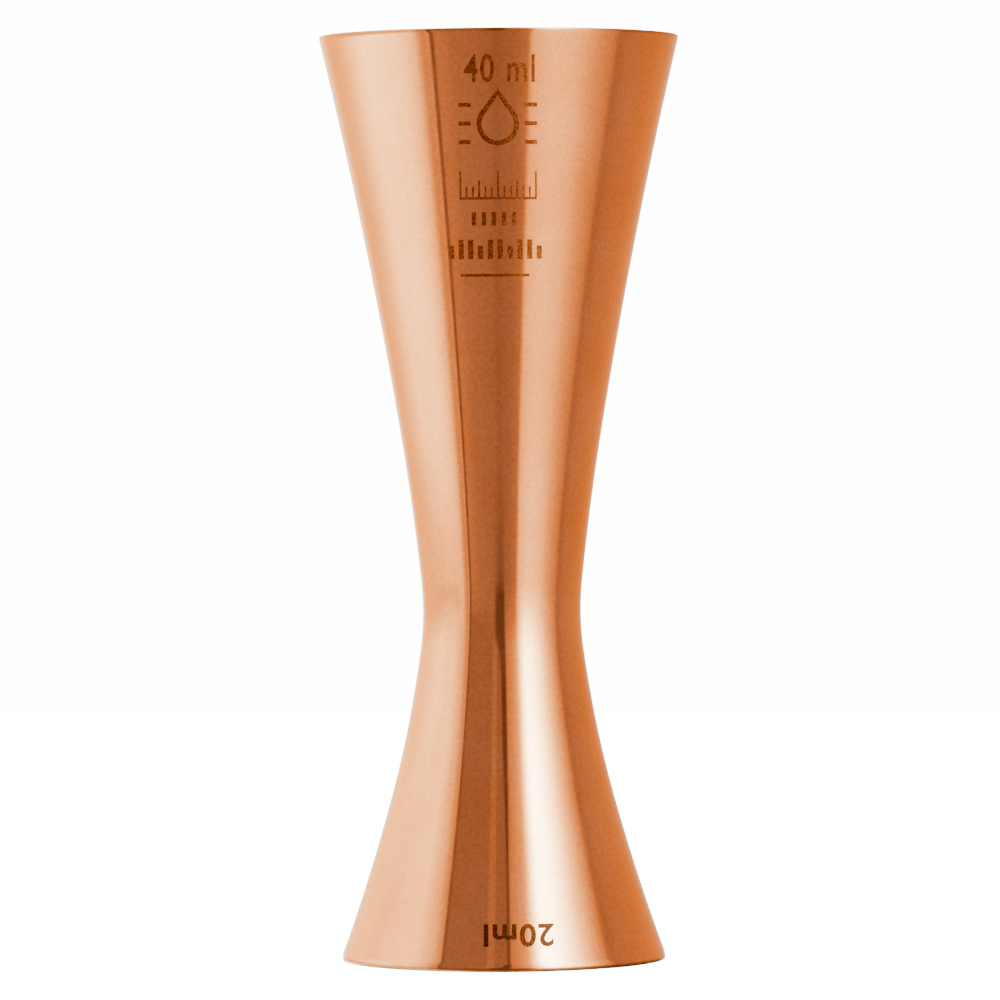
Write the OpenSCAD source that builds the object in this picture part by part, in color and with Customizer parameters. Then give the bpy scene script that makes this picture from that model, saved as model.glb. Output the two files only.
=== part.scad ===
// Double-ended bar jigger: two drawn sheet-metal cups, welded base to base at a narrow waist.
// Units are millimetres. The origin is the centre of the small cup's rim, on the surface that
// the jigger stands on, and +Z runs up the axis to the large cup's rim.

/* [Cups] */
// Height of the large cup, from the waist joint to its rim; filled to the rim it holds 40 ml
large_h = 66.7; // [62:0.1:72]
// Height of the small cup, from the waist joint to its rim; filled to the rim it holds 20 ml
small_h = 40.5; // [38:0.1:44]
// Thickness of the walls
wall_t = 0.8; // [0.75:0.05:1.2]
// Thickness of each cup's own floor
floor_t = 0.8; // [0.5:0.05:1.2]
// Inside corner radius where a wall meets its floor
floor_corner_r = 1.5; // [0.8:0.1:3]

/* [Waist] */
// Outside diameter at the waist, the narrowest point
waist_d = 18.35; // [17:0.05:22]
// Radius of the bend that runs through the waist
waist_bend_r = 32.7; // [25:0.1:45]
// Depth of the weld groove, cut as a 45 degree bevel round each cup's base
weld_depth = 0.6; // [0.3:0.05:0.8]

/* [Large cup flank] */
// Lean of the flank from the axis where the waist bend ends, in degrees
large_bend_lean = 5.9; // [4:0.1:8]
// Radius of the sweep above the waist bend
large_sweep_r = 293; // [200:1:400]
// Lean of the flank where that sweep ends
large_sweep_lean = 9.4; // [8.5:0.1:11]
// Radius of the nearly straight flank from there to the rim
large_rim_sweep_r = 670; // [500:5:1500]

/* [Small cup flank] */
// Lean of the flank from the axis where the waist bend ends, in degrees
small_bend_lean = 7.7; // [5:0.1:10]
// Radius of the sweep below the waist bend
small_sweep_r = 133.5; // [100:0.5:200]
// Lean of the flank where that sweep ends
small_sweep_lean = 15.4; // [14:0.1:18]
// Radius of the nearly straight flank from there to the rim
small_rim_sweep_r = 240; // [200:5:1500]

/* [Lips] */
// Radius of the roll that brings the large cup's flank upright at its rim
large_roll_r = 2.5; // [1:0.1:5]
// Radius of the roll that brings the small cup's flank upright at its rim
small_roll_r = 3; // [1:0.1:5]
// Outer edge radius of the large cup's lip, only deburred
large_lip_r = 0.15; // [0.05:0.01:0.2]
// Outer edge radius of the small cup's lip, worn round by polishing
small_lip_r = 0.35; // [0.1:0.01:0.42]
// Inner edge radius of both lips
inner_lip_r = 0.15; // [0.05:0.01:0.2]

/* [Smoothness] */
// Facets round the axis
round_fn = 180; // [60:12:360]
// Height of one step along a flank
flank_step = 1.5; // [0.75:0.25:3]

/* [Hidden] */
copper = [0.82, 0.47, 0.27];
weld_copper = [0.76, 0.42, 0.24];
waist_r = waist_d / 2;
waist_z = small_h;
arc_steps = 8;
roll_steps = 5;
weld_steps = 4;

// A flank is a chain of tangent arcs, each as [radius, lean at its start, lean at its end, radius
// from the axis and height at its start]. An arc that curves away from the axis has a positive
// radius, and one that curves back has a negative one. Heights are measured from the waist joint.
function arc_end(arc) = [
    arc[3] + arc[0] * (cos(arc[1]) - cos(arc[2])),
    arc[4] + arc[0] * (sin(arc[2]) - sin(arc[1]))
];
function next_arc(arc, r, lean) = [r, arc[2], lean, arc_end(arc)[0], arc_end(arc)[1]];

// Three arcs that flare away from the axis, then the roll that is upright at the rim.
function flank(cup_h, bend_lean, sweep_r, sweep_lean, rim_sweep_r, roll_r) =
    let (bend = [waist_bend_r, 0, bend_lean, waist_r, 0])
    let (sweep = next_arc(bend, sweep_r, sweep_lean))
    let (centre_h = arc_end(sweep)[1] - rim_sweep_r * sin(sweep_lean))
    let (roll_lean = asin((cup_h - centre_h) / (rim_sweep_r + roll_r)))
    let (rim_sweep = next_arc(sweep, rim_sweep_r, roll_lean))
    [bend, sweep, rim_sweep, next_arc(rim_sweep, -roll_r, 0)];
large_flank = flank(
    large_h,
    large_bend_lean,
    large_sweep_r,
    large_sweep_lean,
    large_rim_sweep_r,
    large_roll_r
);
small_flank = flank(
    small_h,
    small_bend_lean,
    small_sweep_r,
    small_sweep_lean,
    small_rim_sweep_r,
    small_roll_r
);

// Which arc of the chain, moved inward by depth, holds height h.
function arc_at(chain, depth, h, i = 0) =
    i == len(chain) - 1 || h <= arc_end(chain[i])[1] + depth * sin(chain[i][2])
        ? chain[i]
        : arc_at(chain, depth, h, i + 1);

// The lean of the flank, and the point on it, at height h and moved inward by depth.
function lean_on(arc, depth, h) =
    asin(sin(arc[1]) + (h - arc[4] - depth * sin(arc[1])) / (arc[0] + depth));
function lean_at(chain, depth, h) = lean_on(arc_at(chain, depth, h), depth, h);
function flank_point(chain, depth, h) =
    let (arc = arc_at(chain, depth, h))
    let (lean = lean_on(arc, depth, h))
    [arc[3] - depth * cos(arc[1]) + (arc[0] + depth) * (cos(arc[1]) - cos(lean)), h];

// Points along the flank at one depth, from height h0 to height h1. The first of them is left
// out when first is 1.
function flank_points(chain, depth, h0, h1, steps, first = 0) = [
    for (i = [first : steps]) flank_point(chain, depth, h0 + (h1 - h0) * i / steps)
];

// Points of a round corner about a centre, from angle a0 to angle a1, without its first point.
function corner_points(centre, r, a0, a1) = [
    for (i = [1 : arc_steps])
        let (a = a0 + (a1 - a0) * i / arc_steps)
        centre + r * [cos(a), sin(a)]
];

// Half section of a cup that stands on its base at height 0, with its rim at height cup_h.
// It runs up the outside, round the roll and over the lip, down the inside, across the floor and
// back along the base to the weld bevel.
function cup_section(chain, cup_h, lip_r) =
    let (lip_h = cup_h - lip_r)
    let (lip_lean = lean_at(chain, lip_r, lip_h))
    let (inner_h = cup_h - inner_lip_r)
    let (inner_depth = wall_t - inner_lip_r)
    let (inner_lean = lean_at(chain, inner_depth, inner_h))
    let (foot_h = floor_t + floor_corner_r)
    let (foot_depth = wall_t + floor_corner_r)
    let (foot_lean = lean_at(chain, foot_depth, foot_h))
    let (roll = chain[len(chain) - 1])
    let (roll_h = roll[4])
    let (inner_roll_h = roll_h + wall_t * sin(roll[1]))
    let (inner_top_h = inner_h + inner_lip_r * sin(inner_lean))
    let (foot_top_h = foot_h - floor_corner_r * sin(foot_lean))
    let (steps = ceil(cup_h / flank_step))
    concat(
        flank_points(chain, 0, weld_depth, roll_h, steps),
        flank_points(chain, 0, roll_h, lip_h - lip_r * sin(lip_lean), roll_steps, 1),
        corner_points(flank_point(chain, lip_r, lip_h), lip_r, -lip_lean, 90),
        [flank_point(chain, inner_depth, inner_h) + [0, inner_lip_r]],
        corner_points(flank_point(chain, inner_depth, inner_h), inner_lip_r, 90, 180 - inner_lean),
        flank_points(chain, wall_t, inner_top_h, inner_roll_h, roll_steps, 1),
        flank_points(chain, wall_t, inner_roll_h, foot_top_h, steps, 1),
        corner_points(flank_point(chain, foot_depth, foot_h), floor_corner_r, -foot_lean, -90),
        [[0, floor_t], [0, 0], [waist_r - weld_depth, 0]]
    );

// Half section of the weld: the triangle between the two bevels, dressed flush with the waist.
function weld_section() = concat(
    [[waist_r - weld_depth, 0]],
    [for (p = flank_points(small_flank, 0, weld_depth, 0, weld_steps)) [p[0], -p[1]]],
    [for (i = [1 : weld_steps]) flank_point(large_flank, 0, weld_depth * i / weld_steps)]
);

// The 40 ml cup, which opens upward.
module large_cup() {
    color(copper)
    translate([0, 0, waist_z])
    rotate_extrude($fn = round_fn)
    polygon(cup_section(large_flank, large_h, large_lip_r));
}

// The 20 ml cup, which opens downward, so that its rim is the foot of the jigger.
module small_cup() {
    color(copper)
    translate([0, 0, waist_z])
    mirror([0, 0, 1])
    rotate_extrude($fn = round_fn)
    polygon(cup_section(small_flank, small_h, small_lip_r));
}

// The seam that joins the two bases round the waist.
module waist_weld() {
    color(weld_copper)
    translate([0, 0, waist_z])
    rotate_extrude($fn = round_fn)
    polygon(weld_section());
}

large_cup();
small_cup();
waist_weld();
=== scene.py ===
"""Looks for a double-ended bar jigger: copper-plated, mirror-polished outside, satin inside.

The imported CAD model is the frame. The three CAD nodes are replaced by dense lathed meshes of the
same sections, and the etched marks are thin plates wrapped on the flank. Lengths are in
millimetres up to the point where a mesh is made, and angles are in degrees.
"""
import math
from collections import namedtuple

import bmesh
import bpy
from mathutils import Matrix, Vector


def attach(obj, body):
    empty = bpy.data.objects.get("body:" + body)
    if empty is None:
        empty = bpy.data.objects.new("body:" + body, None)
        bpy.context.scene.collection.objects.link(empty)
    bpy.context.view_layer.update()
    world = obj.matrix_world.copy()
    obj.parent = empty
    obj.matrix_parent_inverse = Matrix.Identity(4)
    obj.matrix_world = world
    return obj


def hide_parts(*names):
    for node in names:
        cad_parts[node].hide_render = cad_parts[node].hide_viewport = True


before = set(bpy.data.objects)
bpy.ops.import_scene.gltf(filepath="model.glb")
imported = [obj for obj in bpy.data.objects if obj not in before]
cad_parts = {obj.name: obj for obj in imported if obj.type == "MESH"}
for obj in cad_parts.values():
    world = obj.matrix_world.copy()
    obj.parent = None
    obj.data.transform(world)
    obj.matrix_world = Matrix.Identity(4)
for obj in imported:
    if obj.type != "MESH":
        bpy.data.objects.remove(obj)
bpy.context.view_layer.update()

MM = 0.001

# The driving dimensions, as in part.scad.
LARGE_H = 66.7
SMALL_H = 40.5
WALL_T = 0.8
FLOOR_T = 0.8
FLOOR_CORNER_R = 1.5
WAIST_R = 18.35 / 2
WAIST_BEND_R = 32.7
WELD_DEPTH = 0.6
LARGE_LIP_R = 0.15
SMALL_LIP_R = 0.35
INNER_LIP_R = 0.15
WAIST_Z = SMALL_H

# How finely the visible meshes follow the sections.
ROUND_STEPS = 256
FLANK_STEP = 0.5
ROLL_STEP = 0.08
CORNER_STEPS = 10
FLOOR_RINGS = 12
NEAR_CORNER = 0.08
SHARP_ANGLE = 32.0

Arc = namedtuple("Arc", "radius lean0 lean1 r h")


def sin(degrees):
    return math.sin(math.radians(degrees))


def cos(degrees):
    return math.cos(math.radians(degrees))


# ---------------------------------------------------------------- outline

def arc_end(arc):
    """Radius from the axis and height above the waist where an arc of the flank ends."""
    r = arc.r + arc.radius * (cos(arc.lean0) - cos(arc.lean1))
    h = arc.h + arc.radius * (sin(arc.lean1) - sin(arc.lean0))
    return r, h


def next_arc(arc, radius, lean1):
    r, h = arc_end(arc)
    return Arc(radius, arc.lean1, lean1, r, h)


def flank(cup_h, bend_lean, sweep_r, sweep_lean, rim_sweep_r, roll_r):
    """The outside of one cup: three arcs that flare, and the roll that is upright at the rim."""
    bend = Arc(WAIST_BEND_R, 0, bend_lean, WAIST_R, 0)
    sweep = next_arc(bend, sweep_r, sweep_lean)
    centre_h = arc_end(sweep)[1] - rim_sweep_r * sin(sweep_lean)
    roll_lean = math.degrees(math.asin((cup_h - centre_h) / (rim_sweep_r + roll_r)))
    rim_sweep = next_arc(sweep, rim_sweep_r, roll_lean)
    return [bend, sweep, rim_sweep, next_arc(rim_sweep, -roll_r, 0)]


LARGE_FLANK = flank(LARGE_H, 5.9, 293, 9.4, 670, 2.5)
SMALL_FLANK = flank(SMALL_H, 7.7, 133.5, 15.4, 240, 3)


def arc_at(chain, depth, h):
    """The arc of the chain, moved inward by depth, that holds height h."""
    for arc in chain[:-1]:
        if h <= arc_end(arc)[1] + depth * sin(arc.lean1):
            return arc
    return chain[-1]


def lean_at(chain, depth, h):
    arc = arc_at(chain, depth, h)
    rise = (h - arc.h - depth * sin(arc.lean0)) / (arc.radius + depth)
    return math.degrees(math.asin(sin(arc.lean0) + rise))


def radius_at(chain, depth, h):
    arc = arc_at(chain, depth, h)
    turned = cos(arc.lean0) - cos(lean_at(chain, depth, h))
    return arc.r - depth * cos(arc.lean0) + (arc.radius + depth) * turned


def flank_points(chain, depth, h0, h1, step=FLANK_STEP):
    """Points along the flank from height h0 to height h1, about a step apart."""
    steps = math.ceil(abs(h1 - h0) / step)
    heights = [h0 + (h1 - h0) * i / steps for i in range(steps + 1)]
    return [(radius_at(chain, depth, h), h) for h in heights]


def corner_points(r, h, corner_r, a0, a1):
    """Points of a round corner about (r, h), from angle a0 to angle a1, without its first."""
    angles = [a0 + (a1 - a0) * i / CORNER_STEPS for i in range(1, CORNER_STEPS + 1)]
    return [(r + corner_r * cos(a), h + corner_r * sin(a)) for a in angles]


def cup_runs(chain, cup_h, lip_r):
    """The half section of a cup on its base, as runs of points: outside, inside and base."""
    lip_h = cup_h - lip_r
    lip_lean = lean_at(chain, lip_r, lip_h)
    flank_top = lip_h - lip_r * sin(lip_lean)
    inner_h = cup_h - INNER_LIP_R
    inner_depth = WALL_T - INNER_LIP_R
    inner_r = radius_at(chain, inner_depth, inner_h)
    inner_lean = lean_at(chain, inner_depth, inner_h)
    inner_top = inner_h + INNER_LIP_R * sin(inner_lean)
    foot_h = FLOOR_T + FLOOR_CORNER_R
    foot_depth = WALL_T + FLOOR_CORNER_R
    foot_r = radius_at(chain, foot_depth, foot_h)
    foot_lean = lean_at(chain, foot_depth, foot_h)
    foot_top = foot_h - FLOOR_CORNER_R * sin(foot_lean)
    roll_h = chain[-1].h
    inner_roll_h = roll_h + WALL_T * sin(chain[-1].lean0)

    outside = [(radius_at(chain, 0, WELD_DEPTH), WELD_DEPTH)]
    outside += flank_points(chain, 0, WELD_DEPTH + NEAR_CORNER, roll_h)
    outside += flank_points(chain, 0, roll_h, flank_top, ROLL_STEP)[1:]
    outside += corner_points(radius_at(chain, lip_r, lip_h), lip_h, lip_r, -lip_lean, 90)
    outside += [(inner_r, cup_h)]
    inside = corner_points(inner_r, inner_h, INNER_LIP_R, 90, 180 - inner_lean)
    inside += flank_points(chain, WALL_T, inner_top, inner_roll_h, ROLL_STEP)[1:]
    inside += flank_points(chain, WALL_T, inner_roll_h, foot_top + NEAR_CORNER)[1:]
    inside += [(radius_at(chain, WALL_T, foot_top), foot_top)]
    inside += corner_points(foot_r, foot_h, FLOOR_CORNER_R, -foot_lean, -90)
    inside += [(foot_r * (1 - i / FLOOR_RINGS), FLOOR_T) for i in range(1, FLOOR_RINGS + 1)]
    base = [(0, 0), (WAIST_R - WELD_DEPTH, 0)]
    return [outside, inside, base]


def weld_runs():
    """The half section of the weld: its inner tip, then its face flush with the waist."""
    below = flank_points(SMALL_FLANK, 0, WELD_DEPTH, 0)
    above = flank_points(LARGE_FLANK, 0, 0, WELD_DEPTH)
    return [[(r, -h) for r, h in below] + above[1:], [(WAIST_R - WELD_DEPTH, 0)]]


# ---------------------------------------------------------------- meshes

def lathe(name, runs, materials, upward=True):
    """Turns a closed half section about the axis. Each run of points takes its own material.

    Heights are measured from the waist, up the axis, or down it when upward is False.
    """
    side = 1 if upward else -1
    points = [(r, h, i) for i, run in enumerate(runs) for r, h in run]
    vertices = []
    rings = []
    for r, h, _ in points:
        first = len(vertices)
        count = ROUND_STEPS if r > 0 else 1
        for i in range(count):
            angle = 360 * i / ROUND_STEPS
            vertices.append((r * sin(angle) * MM, -r * cos(angle) * MM, (WAIST_Z + side * h) * MM))
        rings.append([first + i % count for i in range(ROUND_STEPS)])
    faces = []
    slots = []
    for k, (_, _, run) in enumerate(points):
        low = rings[k]
        high = rings[(k + 1) % len(rings)]
        if low[0] == low[1] and high[0] == high[1]:
            continue
        for i in range(ROUND_STEPS):
            j = (i + 1) % ROUND_STEPS
            corners = [low[i], low[j], high[j], high[i]]
            face = list(dict.fromkeys(corners))
            faces.append(face if upward else face[::-1])
            slots.append(run)
    mesh = bpy.data.meshes.new(name)
    mesh.from_pydata(vertices, [], faces)
    for material in materials:
        mesh.materials.append(material)
    mesh.polygons.foreach_set("material_index", [min(s, len(materials) - 1) for s in slots])
    mesh.shade_smooth()
    mesh.set_sharp_from_angle(angle=math.radians(SHARP_ANGLE))
    mesh.validate()
    piece = bpy.data.objects.new(name, mesh)
    bpy.context.scene.collection.objects.link(piece)
    return piece


# ---------------------------------------------------------------- etched marks

MARK_PROUD = 0.012
MARK_DEPTH = 0.05
MARK_GRID = 0.5
LETTER_SPACING = 1.1
LETTER_CURVE_STEPS = 6
# The boxes of the two capacities, as left, right, low and high, and how much bolder the strokes
# are than the font's.
BOX_40 = (-4.0, 4.1, 101.05, 104.2)
BOLD_40 = 0.01
BOX_20 = (-2.3, 5.8, 2.8, 5.35)
BOLD_20 = 0.022


def wrap_point(chain, up, u, v, out):
    """A point of a label on a cup's flank: u across, v the height above the small rim."""
    h = (v - WAIST_Z) * up
    r = radius_at(chain, 0, h)
    lean = lean_at(chain, 0, h)
    angle = math.degrees(u / r)
    reach = r + out * cos(lean)
    return (reach * sin(angle) * MM, -reach * cos(angle) * MM, (v - up * out * sin(lean)) * MM)


def split_across(bm, low, high):
    """Cuts a flat mesh at every MARK_GRID, so that it bends round the flank with no gaps."""
    for i in range(math.ceil(low / MARK_GRID), math.floor(high / MARK_GRID) + 1):
        everything = bm.verts[:] + bm.edges[:] + bm.faces[:]
        plane = Vector((i * MARK_GRID, 0, 0))
        bmesh.ops.bisect_plane(bm, geom=everything, plane_co=plane, plane_no=(1, 0, 0))


def wrapped(name, bm, chain, up, material):
    """Makes a closed thin plate on the flank from a flat mesh in label millimetres."""
    bmesh.ops.remove_doubles(bm, verts=bm.verts[:], dist=0.001)
    xs = [v.co.x for v in bm.verts]
    split_across(bm, min(xs), max(xs))
    bmesh.ops.triangulate(bm, faces=bm.faces[:])
    bm.normal_update()
    flat = [(v.co.x, v.co.y) for v in bm.verts]
    bm.verts.index_update()
    count = len(flat)
    vertices = [wrap_point(chain, up, u, v, MARK_PROUD) for u, v in flat]
    vertices += [wrap_point(chain, up, u, v, -MARK_DEPTH) for u, v in flat]
    faces = []
    for face in bm.faces:
        front = [v.index for v in face.verts]
        if face.normal.z < 0:
            front = front[::-1]
        faces.append(front)
        faces.append([i + count for i in reversed(front)])
    fronts = {(f[k], f[(k + 1) % len(f)]) for f in faces[::2] for k in range(len(f))}
    for a, b in sorted(fronts):
        if (b, a) not in fronts:
            faces.append([a, a + count, b + count, b])
    bm.free()
    mesh = bpy.data.meshes.new(name)
    mesh.from_pydata(vertices, [], faces)
    mesh.materials.append(material)
    mesh.validate()
    piece = bpy.data.objects.new(name, mesh)
    bpy.context.scene.collection.objects.link(piece)
    return piece


def lettering(text, bold):
    """A flat mesh of one line of text in Blender's own font, with strokes made bolder."""
    curve = bpy.data.curves.new("line", "FONT")
    curve.body = text
    curve.space_character = LETTER_SPACING
    curve.resolution_u = LETTER_CURVE_STEPS
    curve.offset = bold
    writer = bpy.data.objects.new("line", curve)
    bpy.context.scene.collection.objects.link(writer)
    bpy.context.view_layer.update()
    bm = bmesh.new()
    bm.from_mesh(writer.to_mesh())
    writer.to_mesh_clear()
    bpy.data.objects.remove(writer)
    bpy.data.curves.remove(curve)
    return bm


def fit_to(bm, left, right, low, high, turned=False):
    """Scales and moves a flat mesh into a box of the label, turned upside down if asked."""
    xs = [v.co.x for v in bm.verts]
    ys = [v.co.y for v in bm.verts]
    wide = (right - left) / (max(xs) - min(xs))
    tall = (high - low) / (max(ys) - min(ys))
    for v in bm.verts:
        v.co.x = left + (v.co.x - min(xs)) * wide
        v.co.y = low + (v.co.y - min(ys)) * tall
        if turned:
            v.co.x = left + right - v.co.x
            v.co.y = low + high - v.co.y
    return bm


def bar(bm, left, right, low, high):
    """Adds a plain bar to a flat mesh."""
    corners = [(left, low), (right, low), (right, high), (left, high)]
    bm.faces.new([bm.verts.new((u, v, 0)) for u, v in corners])


def outline(bm, inner, outer):
    """Adds the closed band between two outlines with the same number of points."""
    rings = [[bm.verts.new((u, v, 0)) for u, v in points] for points in (outer, inner)]
    count = len(inner)
    for i in range(count):
        j = (i + 1) % count
        bm.faces.new([rings[0][i], rings[0][j], rings[1][j], rings[1][i]])


def bar_row(bm, left, pitch, wide, low, highs):
    """Adds a row of bars on one low edge, one for each high edge given."""
    for i, high in enumerate(highs):
        start = left + pitch * i
        bar(bm, start, start + wide, low, high)


def drop_points(middle, low, radius, tip, steps=48):
    """The outline of a drop: a round foot of a radius, drawn up to a tip above its centre."""
    centre = low + radius
    reach = tip - centre
    touch = math.degrees(math.asin(radius / reach))
    points = [(middle, tip)]
    for i in range(steps + 1):
        angle = 180 - touch + (180 + 2 * touch) * i / steps
        points.append((middle + radius * cos(angle), centre + radius * sin(angle)))
    return points


def capacity_mark(name, text, box, bold, chain, up, material, turned=False):
    """A capacity in a box of left, right, low and high."""
    bm = fit_to(lettering(text, bold), *box, turned=turned)
    return wrapped(name, bm, chain, up, material)


def drop_mark(material):
    """A plain drop in outline between two stacks of short bars, for a liquid measure."""
    bm = bmesh.new()
    middle = -0.15
    inner = drop_points(middle, low=94.5, radius=1.85, tip=99.55)
    outer = drop_points(middle, low=93.95, radius=2.4, tip=100.35)
    outline(bm, inner, outer)
    bar_near = 3.1
    bar_far = 4.5
    bar_tall = 0.45
    bar_pitch = 2.1
    stack_low = 94.1
    for side in (-1, 1):
        ends = sorted((middle + side * bar_near, middle + side * bar_far))
        for k in range(3):
            low = stack_low + bar_pitch * k
            bar(bm, *ends, low, low + bar_tall)
    return wrapped("drop_mark", bm, LARGE_FLANK, 1, material)


def scale_mark(material):
    """A short graduated scale on a base line."""
    bm = bmesh.new()
    ticks = 13
    tick_w = 0.2
    left = -4.6
    right = 4.3
    base = 88.1
    base_tall = 0.25
    short_tick = 1.2
    middle_tick = 1.9
    long_tick = 2.9
    pitch = (right - left - tick_w) / (ticks - 1)
    bar(bm, left, right, base - base_tall, base)
    for i in range(ticks):
        tall = long_tick if i % 6 == 0 else middle_tick if i % 3 == 0 else short_tick
        bar(bm, left + pitch * i, left + pitch * i + tick_w, base, base + tall)
    return wrapped("scale_mark", bm, LARGE_FLANK, 1, material)


def rows_mark(material):
    """Two plain rows of bars under the scale, and a thin line under them."""
    bm = bmesh.new()
    wide_highs = [83.3 if i % 3 else 82.6 for i in range(10)]
    bar_row(bm, left=-3.2, pitch=1.15, wide=0.5, low=84.9, highs=[86.4] * 5)
    bar_row(bm, left=-5.9, pitch=1.13, wide=0.6, low=81.1, highs=wide_highs)
    bar(bm, left=-4.5, right=3.4, low=79.1, high=79.4)
    return wrapped("rows_mark", bm, LARGE_FLANK, 1, material)


# ---------------------------------------------------------------- materials

def new_material(name):
    material = bpy.data.materials.new(name)
    material.use_nodes = True
    material.node_tree.nodes.clear()
    return material


def add(tree, kind, **values):
    """Adds a node and sets the named properties on it."""
    node = tree.nodes.new(kind)
    for name, value in values.items():
        setattr(node, name, value)
    return node


def put(tree, socket, value):
    """Feeds a socket from another node's output, or sets its value."""
    if isinstance(value, bpy.types.NodeSocket):
        tree.links.new(value, socket)
    else:
        socket.default_value = value


def maths(tree, operation, *values):
    node = add(tree, "ShaderNodeMath", operation=operation)
    for socket, value in zip(node.inputs, values):
        put(tree, socket, value)
    return node.outputs[0]


def ranged(tree, value, low, high, to_low, to_high, smooth=False):
    kind = "SMOOTHSTEP" if smooth else "LINEAR"
    node = add(tree, "ShaderNodeMapRange", interpolation_type=kind, clamp=True)
    put(tree, node.inputs["Value"], value)
    node.inputs["From Min"].default_value = low
    node.inputs["From Max"].default_value = high
    node.inputs["To Min"].default_value = to_low
    node.inputs["To Max"].default_value = to_high
    return node.outputs["Result"]


def noise(tree, vector, size, detail):
    """Cloudy noise whose features are about size millimetres across."""
    node = add(tree, "ShaderNodeTexNoise", noise_dimensions="3D")
    put(tree, node.inputs["Vector"], vector)
    node.inputs["Scale"].default_value = 1 / (size * MM)
    node.inputs["Detail"].default_value = detail
    return node.outputs["Fac"]


def lines_noise(tree, place, size, detail):
    """Noise along one coordinate only, which draws fine parallel lines."""
    node = add(tree, "ShaderNodeTexNoise", noise_dimensions="1D")
    put(tree, node.inputs["W"], place)
    node.inputs["Scale"].default_value = 1 / (size * MM)
    node.inputs["Detail"].default_value = detail
    return node.outputs["Fac"]


def tint_mix(tree, share, first, second):
    node = add(tree, "ShaderNodeMix", data_type="RGBA", blend_type="MIX")
    put(tree, node.inputs[0], share)
    for socket, value in ((node.inputs[6], first), (node.inputs[7], second)):
        put(tree, socket, value if isinstance(value, bpy.types.NodeSocket) else (*value, 1))
    return node.outputs[2]


def bumped(tree, height, distance, strength):
    """A normal for bumps that are distance millimetres high at full strength."""
    node = add(tree, "ShaderNodeBump")
    put(tree, node.inputs["Height"], height)
    node.inputs["Distance"].default_value = distance * MM
    node.inputs["Strength"].default_value = strength
    return node.outputs["Normal"]


def places(tree):
    """The point's own coordinates in the frame, its distance from the axis and its height."""
    coordinates = add(tree, "ShaderNodeTexCoord").outputs["Object"]
    split = add(tree, "ShaderNodeSeparateXYZ")
    put(tree, split.inputs[0], coordinates)
    x, y, z = split.outputs
    squared = maths(tree, "ADD", maths(tree, "MULTIPLY", x, x), maths(tree, "MULTIPLY", y, y))
    return coordinates, maths(tree, "SQRT", squared), z


COPPER = (0.95, 0.38, 0.18)
COPPER_WARM = (0.93, 0.355, 0.155)
# Keeps the copper colour at glancing angles, where a bare metal would turn white.
EDGE_TINT = (0.99, 0.74, 0.58, 1)
# Painted shade darkens the lips' edges within RIM_ZONE: fully at the foot, and at the large cup's
# top by the share given below. This dark copper also tints the speckle.
COPPER_SHADE_AND_SPECKLE = (0.14, 0.045, 0.018)
RIM_ZONE = 0.55
TOP_SHADE = 0.3
# The inside is seen through several bounces, which deepen its colour, so it starts paler.
SATIN = (0.96, 0.66, 0.5)
SATIN_WARM = (0.94, 0.63, 0.47)
# Roughness, as its least and its most, and the sizes of what varies, in millimetres.
MIRROR_ROUGHNESS = (0.045, 0.085)
SATIN_ROUGHNESS = (0.2, 0.26)
CLOUD_SIZE = 9.0
HAZE_SIZE = 2.5
GRAIN_SIZE = 0.4
GRAIN_SHARE = 0.15
RING_SIZE = 0.22
BAND_SIZE = 2.0
SATIN_PATCH = 3.0
# The part of a noise's range that is stretched over the whole of what it varies.
NOISE_MIDDLE = (0.35, 0.65)
NOISE_MOST = (0.3, 0.7)
GRAIN_SPAN = (0.35, 0.75)


def metal(tree, colour, roughness, normal):
    shader = add(tree, "ShaderNodeBsdfPrincipled")
    shader.inputs["Metallic"].default_value = 1.0
    shader.inputs["Specular Tint"].default_value = EDGE_TINT
    put(tree, shader.inputs["Base Color"], colour)
    put(tree, shader.inputs["Roughness"], roughness)
    put(tree, shader.inputs["Normal"], normal)
    output = add(tree, "ShaderNodeOutputMaterial")
    put(tree, output.inputs["Surface"], shader.outputs[0])


def rim_painted_shade(tree, height):
    """How much painted shade darkens the lips' edges: most at the foot, and nothing from RIM_ZONE
    inward.
    """
    top = WAIST_Z + LARGE_H
    at_top = ranged(tree, height, (top - RIM_ZONE) * MM, top * MM, 0, TOP_SHADE, smooth=True)
    at_foot = ranged(tree, height, 0, RIM_ZONE * MM, 1, 0, smooth=True)
    return maths(tree, "MAXIMUM", at_top, at_foot)


def polished_copper():
    """Mirror-polished copper plate with clouding, buffing lines and painted shade on the lips'
    edges.
    """
    material = new_material("polished_copper")
    tree = material.node_tree
    spot, _, height = places(tree)
    clouds = noise(tree, spot, CLOUD_SIZE, detail=3.0)
    colour = tint_mix(tree, ranged(tree, clouds, *NOISE_MIDDLE, 0, 1), COPPER, COPPER_WARM)
    # Painted shade: the lips' edges are turned towards dark copper.
    colour = tint_mix(tree, rim_painted_shade(tree, height), colour, COPPER_SHADE_AND_SPECKLE)
    grain = noise(tree, spot, GRAIN_SIZE, detail=2.0)
    speckle = ranged(tree, grain, *GRAIN_SPAN, 0, GRAIN_SHARE)
    colour = tint_mix(tree, speckle, colour, COPPER_SHADE_AND_SPECKLE)
    haze = noise(tree, spot, HAZE_SIZE, detail=4.0)
    roughness = ranged(tree, haze, *NOISE_MOST, *MIRROR_ROUGHNESS)
    normal = bumped(tree, grain, distance=0.001, strength=0.25)
    metal(tree, colour, roughness, normal)
    return material


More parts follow.
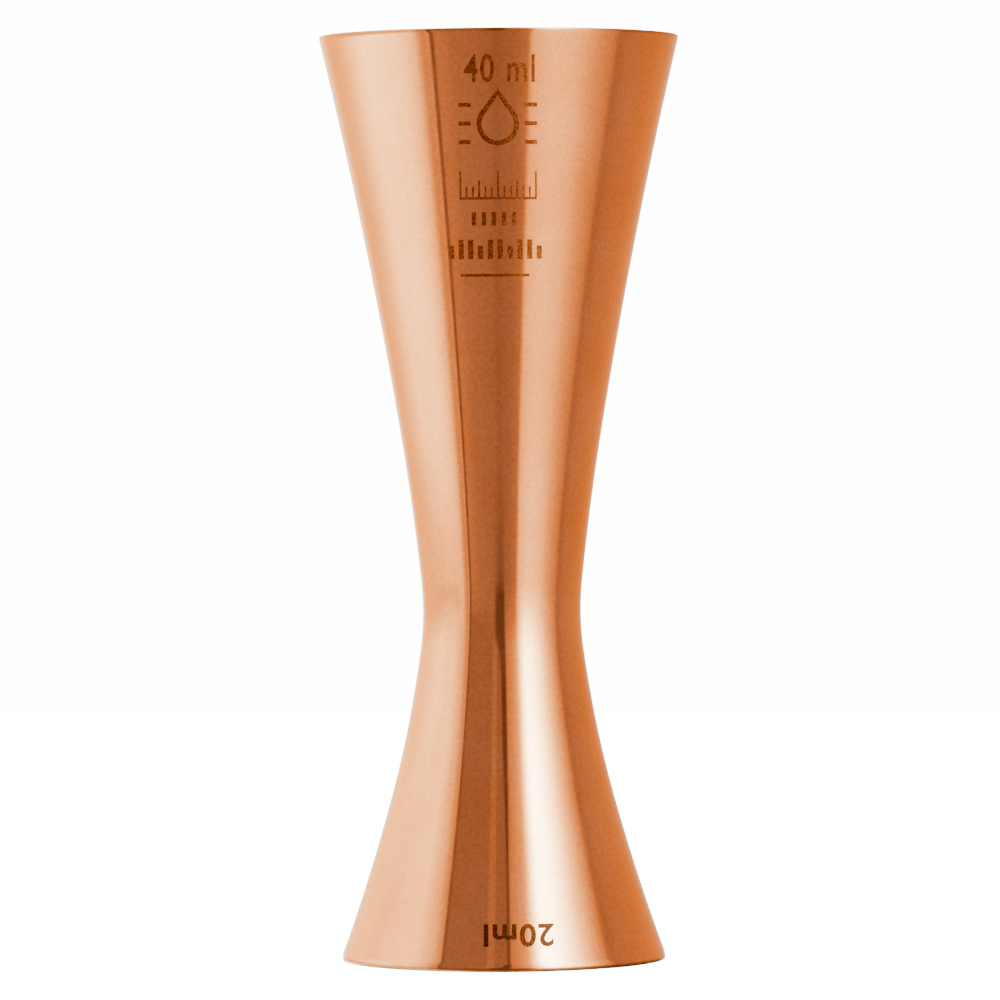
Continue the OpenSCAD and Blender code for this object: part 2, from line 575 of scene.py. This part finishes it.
def satin_copper():
    """The inside, left as spun: fine rings round the axis over a satin surface."""
    material = new_material("satin_copper")
    tree = material.node_tree
    spot, axis_distance, height = places(tree)
    along = maths(tree, "ADD", axis_distance, height)
    rings = lines_noise(tree, along, RING_SIZE, detail=3.0)
    bands = lines_noise(tree, along, BAND_SIZE, detail=2.0)
    colour = tint_mix(tree, ranged(tree, bands, *NOISE_MIDDLE, 0, 1), SATIN, SATIN_WARM)
    patches = noise(tree, spot, SATIN_PATCH, detail=3.0)
    roughness = ranged(tree, patches, *NOISE_MOST, *SATIN_ROUGHNESS)
    normal = bumped(tree, rings, distance=0.004, strength=0.6)
    metal(tree, colour, roughness, normal)
    return material


ETCH_DARK = (0.3, 0.09, 0.035)
ETCH_PALE = (0.56, 0.185, 0.078)
DEEP_DARK = (0.15, 0.04, 0.014)
DEEP_PALE = (0.25, 0.07, 0.025)
ETCH_ROUGHNESS = (0.35, 0.45)
STIPPLE_SIZE = 0.16
STIPPLE_SPAN = (0.4, 0.62)


def etched_copper(name, dark, pale):
    """Laser etching: a matt, stippled burn."""
    material = new_material(name)
    tree = material.node_tree
    spot, _, _ = places(tree)
    stipple = noise(tree, spot, STIPPLE_SIZE, detail=1.0)
    colour = tint_mix(tree, ranged(tree, stipple, *STIPPLE_SPAN, 0, 1), dark, pale)
    roughness = ranged(tree, stipple, *NOISE_MOST, *ETCH_ROUGHNESS)
    normal = bumped(tree, stipple, distance=0.01, strength=0.6)
    metal(tree, colour, roughness, normal)
    return material


# ---------------------------------------------------------------- studio

# A card is a soft-edged panel of the studio, far from the jigger, as directions in degrees.
# Azimuth 0 is towards the camera and grows to the camera's right; elevation is above the
# horizon. It adds its level to the room's own, changing evenly from its left to its right edge.
# soft holds the widths of its left, right, lower and upper edges, and lean is how far it tips
# to the left for each degree upward.
Card = namedtuple("Card", "az el level soft lean")
ALL_UP = (-95, 95)
ROOM_LEVEL = 0.38
WHITE = 3.0
CARDS = [
    # Left softbox, brighter low down and high up, and towards the edge of the jigger.
    Card((-176, -55), ALL_UP, (0.89, 0.40), (8, 9, 5, 5), 0),
    Card((-176, -62), (-95, -12), (1.05, 0.57), (8, 20, 5, 9), 0),
    Card((-122, -66), (-1, 95), (0.24, 0.56), (60, 18, 25, 5), 0),
    Card((-140, -98), (-30, -6), (0.09, 0.09), (20, 14, 8, 8), 0),
    Card((-155, -90), (0, 14.5), (0.17, 0.17), (16, 22, 10, 7), 0),
    Card((-90, -56), (-12, 3), (0.07, 0.08), (8, 5, 6, 7), 0),
    Card((-150, -100), (-12, 2), (-0.08, -0.07), (12, 10, 8, 8), 0),
    # Its spill on the edge of the dark gap, the thin black line there, and the glow beyond it.
    Card((-68, -48.2), ALL_UP, (0.06, 0.38), (8, 1.8, 5, 5), 0.055),
    Card((-48.2, -45.2), ALL_UP, (-0.09, -0.09), (1, 1.5, 5, 5), 0.08),
    Card((-45.5, -34), (-95, -12), (0.09, 0.02), (1.5, 8, 5, 6), 0.06),
    Card((-45.5, -4), (-95, -2), (0.11, 0.0), (1.5, 3, 5, 8), 0.06),
    # Right softbox: a wing at every height, and the hot core that shows above the horizon.
    Card((21.6, 85), ALL_UP, (0.47, 0.18), (4.5, 5.5, 5, 5), 0),
    Card((28, 75), ALL_UP, (0.42, 0.26), (35, 48, 5, 5), 0),
    Card((26.5, 65.5), (4, 95), (2.3, 0.92), (17.5, 53, 50, 5), 0),
    Card((24, 62), (-22, -6), (0.06, 0.05), (3, 12, 8, 10), 0),
    # Its spill on the dark gap, and the dim wall to its right.
    Card((5.3, 21.5), (0, 95), (0.24, 0.53), (1.6, 4.5, 38, 5), 0),
    Card((4, 22), (-95, -2), (0.0, 0.08), (3, 2, 5, 10), 0),
    Card((90, 178), ALL_UP, (0.1, 0.45), (16, 4, 5, 5), 0),
    # The dark camera, its stand above and below it, and a pale strip beside the stand.
    Card((-9.5, 3.3), (-13, 9.5), (-0.163, -0.163), (6, 2, 11.5, 7.5), 0),
    Card((-5, 4.1), (9, 14), (-0.14, -0.14), (7, 1.5, 6, 4), 0),
    Card((-4.5, 1.5), (14, 27), (-0.17, -0.17), (2.5, 2.5, 4, 8), -0.2),
    Card((2.6, 4.8), (26, 39), (-0.15, -0.12), (1.2, 1.2, 4, 5), 0),
    Card((-5, 1.5), (-30, -8), (-0.025, -0.025), (3, 2, 5, 8), 0),
    Card((-13.5, -7.5), (10, 60), (0.1, 0.1), (1.5, 1.5, 8, 5), 0),
    # The shade under the jigger and behind it, which shows in the foot's edge, where shade is also
    # painted dark into the copper.
    Card((-185, -150), (-68, -14), (-0.5, -0.5), (5, 12, 6, 6), 0),
    Card((150, 185), (-68, -14), (-0.5, -0.5), (12, 5, 6, 6), 0),
    Card((-185, 185), (-100, -74), (-0.9, -0.9), (5, 5, 5, 8), 0),
]
# The ceiling starts at one elevation and the ground at another, each over twice EDGE_HALF.
CEILING_EL = 58
CEILING_LEVEL = 1.4
GROUND_EL = -48
GROUND_LEVEL = 0.7
EDGE_HALF = 8
DIMMEST = 0.05
# The colour of the light against its brightness: the dim room is warm, the cards are cool.
LIGHT_COLOURS = [
    (0.36, 0.98, 1.11),
    (0.62, 0.84, 0.73),
    (0.92, 1.0, 0.85),
    (1.36, 1.24, 1.2),
    (2.1, 1.57, 1.88),
    (2.9, 1.95, 2.8),
]
BRIGHTEST = 3.2


def soft_step(tree, value, middle, width):
    return ranged(tree, value, middle - width / 2, middle + width / 2, 0, 1, smooth=True)


def inside_of(tree, value, span, soft_low, soft_high):
    rise = soft_step(tree, value, span[0], soft_low)
    fall = soft_step(tree, value, span[1], soft_high)
    return maths(tree, "MULTIPLY", rise, maths(tree, "SUBTRACT", 1.0, fall))


def card_light(tree, card, azimuth, elevation):
    if card.lean:
        azimuth = maths(tree, "ADD", azimuth, maths(tree, "MULTIPLY", elevation, card.lean))
    across = inside_of(tree, azimuth, card.az, *card.soft[:2])
    upward = inside_of(tree, elevation, card.el, *card.soft[2:])
    level = ranged(tree, azimuth, *card.az, *card.level)
    return maths(tree, "MULTIPLY", maths(tree, "MULTIPLY", across, upward), level)


def light_colour(tree, brightness):
    """The colour of the light, scaled so that its red is 1 / BRIGHTEST."""
    node = add(tree, "ShaderNodeValToRGB")
    put(tree, node.inputs[0], maths(tree, "DIVIDE", brightness, BRIGHTEST))
    stops = node.color_ramp.elements
    while len(stops) < len(LIGHT_COLOURS):
        stops.new(1.0)
    for stop, (level, green, blue) in zip(stops, LIGHT_COLOURS):
        stop.position = level / BRIGHTEST
        stop.color = (1 / BRIGHTEST, green / BRIGHTEST, blue / BRIGHTEST, 1)
    return node.outputs[0]


def degrees_of(tree, radians):
    return maths(tree, "MULTIPLY", radians, 180 / math.pi)


def make_studio():
    """The world: a dim room with soft cards round the jigger, and plain white to the camera."""
    world = bpy.data.worlds.new("studio")
    world.use_nodes = True
    tree = world.node_tree
    tree.nodes.clear()
    direction = add(tree, "ShaderNodeTexCoord").outputs["Generated"]
    split = add(tree, "ShaderNodeSeparateXYZ")
    put(tree, split.inputs[0], direction)
    x, y, z = split.outputs
    azimuth = degrees_of(tree, maths(tree, "ARCTAN2", x, maths(tree, "MULTIPLY", y, -1.0)))
    elevation = degrees_of(tree, maths(tree, "ARCSINE", z))
    light = ROOM_LEVEL
    for card in CARDS:
        light = maths(tree, "ADD", light, card_light(tree, card, azimuth, elevation))
    ceiling_span = (CEILING_EL - EDGE_HALF, CEILING_EL + EDGE_HALF)
    ground_span = (GROUND_EL - EDGE_HALF, GROUND_EL + EDGE_HALF)
    ceiling = ranged(tree, elevation, *ceiling_span, 0, CEILING_LEVEL, True)
    ground = ranged(tree, elevation, *ground_span, GROUND_LEVEL, 0, True)
    light = maths(tree, "ADD", light, maths(tree, "ADD", ceiling, ground))
    light = maths(tree, "MAXIMUM", light, DIMMEST)
    room = add(tree, "ShaderNodeBackground")
    put(tree, room.inputs["Color"], light_colour(tree, light))
    put(tree, room.inputs["Strength"], maths(tree, "MULTIPLY", light, BRIGHTEST))
    plain = add(tree, "ShaderNodeBackground")
    plain.inputs["Color"].default_value = (1, 1, 1, 1)
    plain.inputs["Strength"].default_value = WHITE
    either = add(tree, "ShaderNodeMixShader")
    put(tree, either.inputs[0], add(tree, "ShaderNodeLightPath").outputs["Is Camera Ray"])
    put(tree, either.inputs[1], room.outputs[0])
    put(tree, either.inputs[2], plain.outputs[0])
    output = add(tree, "ShaderNodeOutputWorld")
    put(tree, output.inputs["Surface"], either.outputs[0])
    bpy.context.scene.world = world


FLOOR_RADIUS = 0.6
FLOOR_SEGMENTS = 96
FLOOR_WHITE = 0.9
# The sun brings the floor up to WHITE from what the room alone gives it.
ROOM_ON_FLOOR = 0.4
FLOOR_LIGHT = math.pi * (WHITE - ROOM_ON_FLOOR) / FLOOR_WHITE
SUN_WIDTH = 80


def make_floor():
    """A pale floor, lit from above by a broad sun that only the floor shows. It isn't seen
    in the jigger or from below."""
    material = new_material("pale_floor")
    tree = material.node_tree
    matt = add(tree, "ShaderNodeBsdfDiffuse")
    matt.inputs["Color"].default_value = (FLOOR_WHITE, FLOOR_WHITE, FLOOR_WHITE, 1)
    clear = add(tree, "ShaderNodeBsdfTransparent")
    either = add(tree, "ShaderNodeMixShader")
    put(tree, either.inputs[0], add(tree, "ShaderNodeNewGeometry").outputs["Backfacing"])
    put(tree, either.inputs[1], matt.outputs[0])
    put(tree, either.inputs[2], clear.outputs[0])
    output = add(tree, "ShaderNodeOutputMaterial")
    put(tree, output.inputs["Surface"], either.outputs[0])
    bm = bmesh.new()
    bmesh.ops.create_circle(bm, cap_ends=True, segments=FLOOR_SEGMENTS, radius=FLOOR_RADIUS)
    mesh = bpy.data.meshes.new("floor")
    bm.to_mesh(mesh)
    bm.free()
    mesh.materials.append(material)
    floor = bpy.data.objects.new("floor", mesh)
    bpy.context.scene.collection.objects.link(floor)
    floor.visible_glossy = False
    floor.visible_diffuse = False

    light = bpy.data.lights.new("overhead", "SUN")
    light.energy = FLOOR_LIGHT
    light.angle = math.radians(SUN_WIDTH)
    lamp = bpy.data.objects.new("overhead", light)
    bpy.context.scene.collection.objects.link(lamp)
    lamp.visible_glossy = False
    lamp.location = (0, 0, 1)


CAMERA_AT = (-0.00015, -0.8, 0.0673)
CAMERA_TIP = 0.9988
CAMERA_ROLL = -0.348
LENS = 247.8
SENSOR_WIDTH = 36
FAR_CLIP = 200


def make_camera():
    """A long lens a little above the middle of the jigger, tipped down and rolled slightly."""
    data = bpy.data.cameras.new("camera")
    data.sensor_width = SENSOR_WIDTH
    data.lens = LENS
    data.clip_end = FAR_CLIP
    camera = bpy.data.objects.new("camera", data)
    bpy.context.scene.collection.objects.link(camera)
    turn = Matrix.Rotation(math.radians(90 - CAMERA_TIP), 4, "X")
    roll = Matrix.Rotation(math.radians(CAMERA_ROLL), 4, "Z")
    camera.matrix_world = Matrix.Translation(CAMERA_AT) @ turn @ roll
    bpy.context.scene.camera = camera


def set_tone():
    view = bpy.context.scene.view_settings
    view.view_transform = "AgX"
    view.look = "AgX - Very High Contrast"


# ---------------------------------------------------------------- the jigger

def stand_for(piece, node):
    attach(piece, "root")
    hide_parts(node)


def make_jigger():
    polished = polished_copper()
    satin = satin_copper()
    etched = etched_copper("etched_copper", ETCH_DARK, ETCH_PALE)
    deep = etched_copper("deep_etched_copper", DEEP_DARK, DEEP_PALE)
    cup_materials = [polished, satin, satin]
    large = lathe("large_cup_sheet", cup_runs(LARGE_FLANK, LARGE_H, LARGE_LIP_R), cup_materials)
    small_runs = cup_runs(SMALL_FLANK, SMALL_H, SMALL_LIP_R)
    small = lathe("small_cup_sheet", small_runs, cup_materials, upward=False)
    weld = lathe("waist_weld_bead", weld_runs(), [polished])
    stand_for(large, "large_cup")
    stand_for(small, "small_cup")
    stand_for(weld, "waist_weld")

    marks = [
        capacity_mark("capacity_40_ml", "40 ml", BOX_40, BOLD_40, LARGE_FLANK, 1, etched),
        capacity_mark("capacity_20_ml", "20ml", BOX_20, BOLD_20, SMALL_FLANK, -1, deep,
                      turned=True),
        drop_mark(etched),
        scale_mark(etched),
        rows_mark(etched),
    ]
    for mark in marks:
        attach(mark, "root")


make_camera()
set_tone()
make_studio()
make_floor()
make_jigger()
